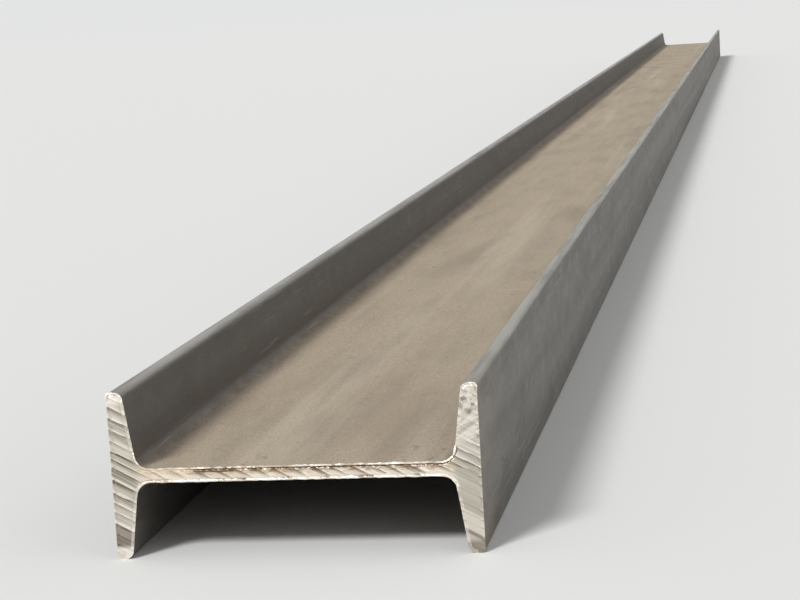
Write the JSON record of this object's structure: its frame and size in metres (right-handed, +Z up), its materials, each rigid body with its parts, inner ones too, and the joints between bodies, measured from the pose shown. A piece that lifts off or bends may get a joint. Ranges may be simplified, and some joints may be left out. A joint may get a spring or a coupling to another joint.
{
  "type": "steel i-beam",
  "caption": "Length of hot-rolled steel I-beam with tapered flanges and a slim web, sawn square at both ends and lying on its flange toes with the web level.",
  "frame": {"origin": "on the ground under the middle of the beam, halfway along it and halfway across its depth", "axes": "+Y along the beam, +X across its depth from flange to flange, +Z up from the toes it lies on, square to the web"},
  "size_m": [0.18, 6, 0.082],
  "materials": {
    "rolled_steel": "hot-rolled mill scale, dusty tan and lightly rusted on the web, with bare sawn ends"
  },
  "bodies": {
    "root": {"i_beam": "rolled_steel"}
  },
  "joints": []
}
